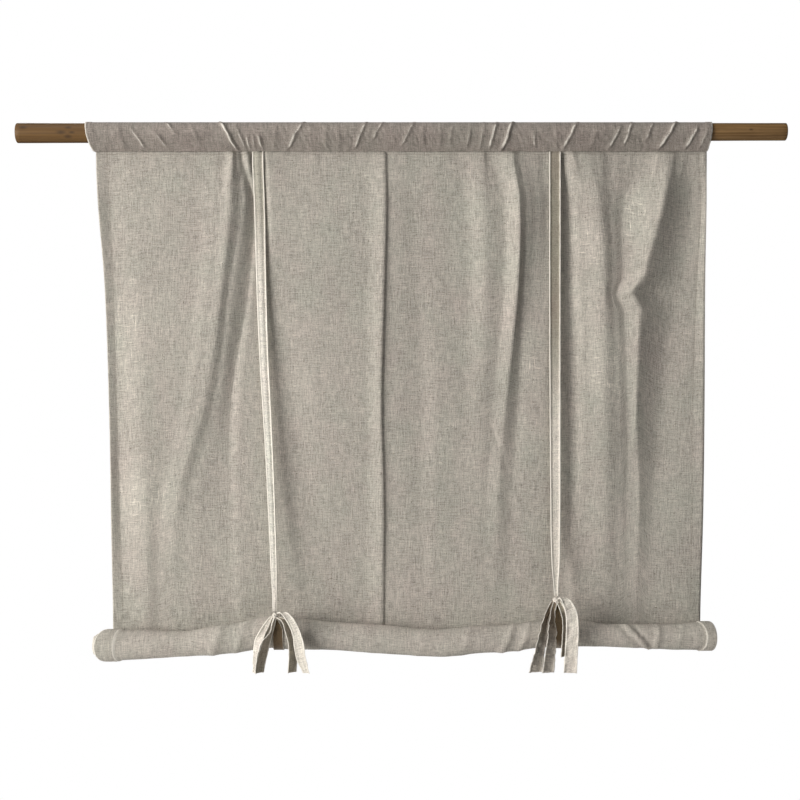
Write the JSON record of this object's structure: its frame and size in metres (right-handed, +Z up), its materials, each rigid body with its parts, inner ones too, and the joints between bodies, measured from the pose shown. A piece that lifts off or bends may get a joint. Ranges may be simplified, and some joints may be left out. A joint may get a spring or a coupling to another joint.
{
  "type": "roll-up curtain on a wooden rod",
  "caption": "Linen curtain on a round wooden rod, its lower half rolled up to the front and carried by ribbon ties with bows.",
  "frame": {"origin": "on the rod's axis at the middle of its length", "axes": "+X along the rod to the right as seen from the front, +Z up; the front of the curtain faces -Y"},
  "size_m": [1.23, 0.0765, 0.8745],
  "materials": {
    "linen": "slubby plain weave, matt, natural beige with dark flecks",
    "ribbon": "folded and stitched strips of the same linen, a little lighter, matt",
    "wood": "brown stained wood with fine grain and a few dark knots, low sheen"
  },
  "bodies": {
    "root": {"rod": "wood", "heading": "linen", "panel": "linen", "roll": "linen", "tie_left_front": "ribbon", "tie_left_back": "ribbon", "tie_left_bow": "ribbon", "tie_right_front": "ribbon", "tie_right_back": "ribbon", "tie_right_bow": "ribbon"}
  },
  "joints": []
}
